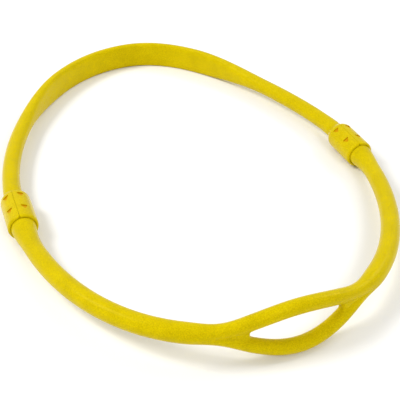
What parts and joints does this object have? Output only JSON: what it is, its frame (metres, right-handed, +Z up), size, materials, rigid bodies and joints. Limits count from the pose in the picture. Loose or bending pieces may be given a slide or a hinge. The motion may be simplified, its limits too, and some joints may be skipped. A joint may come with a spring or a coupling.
{
  "type": "scuba regulator necklace",
  "caption": "Soft silicone neck loop with a flat nape pad, a stretch eye for a spare regulator's mouthpiece and breakaway barrel couplings.",
  "frame": {"origin": "under the middle of the outline, on the surface the loop lies on", "axes": "+X to the wearer's left, seen from above with the nape pad at the back; +Y from the eye toward the nape pad; +Z up"},
  "size_m": [0.178, 0.2534, 0.022],
  "materials": {
    "strap_silicone": "satin moulded silicone, yellow",
    "shell_plastic": "satin moulded soft plastic, yellow",
    "insert_plastic": "semi-gloss moulded nylon, amber"
  },
  "bodies": {
    "neck": {"neck_strap": "strap_silicone", "left_anchor": "insert_plastic", "right_anchor": "insert_plastic"},
    "front": {"front_strap": "strap_silicone", "left_plug": "insert_plastic", "right_plug": "insert_plastic"},
    "left_barrel": {"left_outer_shell": "shell_plastic", "left_inner_shell": "shell_plastic"},
    "right_barrel": {"right_outer_shell": "shell_plastic", "right_inner_shell": "shell_plastic"}
  },
  "joints": [
    {"name": "left_barrel_swivel", "type": "hinge", "parent": "neck", "child": "left_barrel", "pos_m": [-0.08232, -0.01269, 0.00712], "axis": [0, 1, 0], "continuous": true},
    {"name": "right_barrel_swivel", "type": "hinge", "parent": "neck", "child": "right_barrel", "pos_m": [0.08232, -0.01269, 0.00712], "axis": [0, 1, 0], "continuous": true},
    {"name": "breakaway_pull", "type": "slide", "parent": "neck", "child": "front", "axis": [0, -1, 0], "range_m": [0, 0.03]}
  ]
}
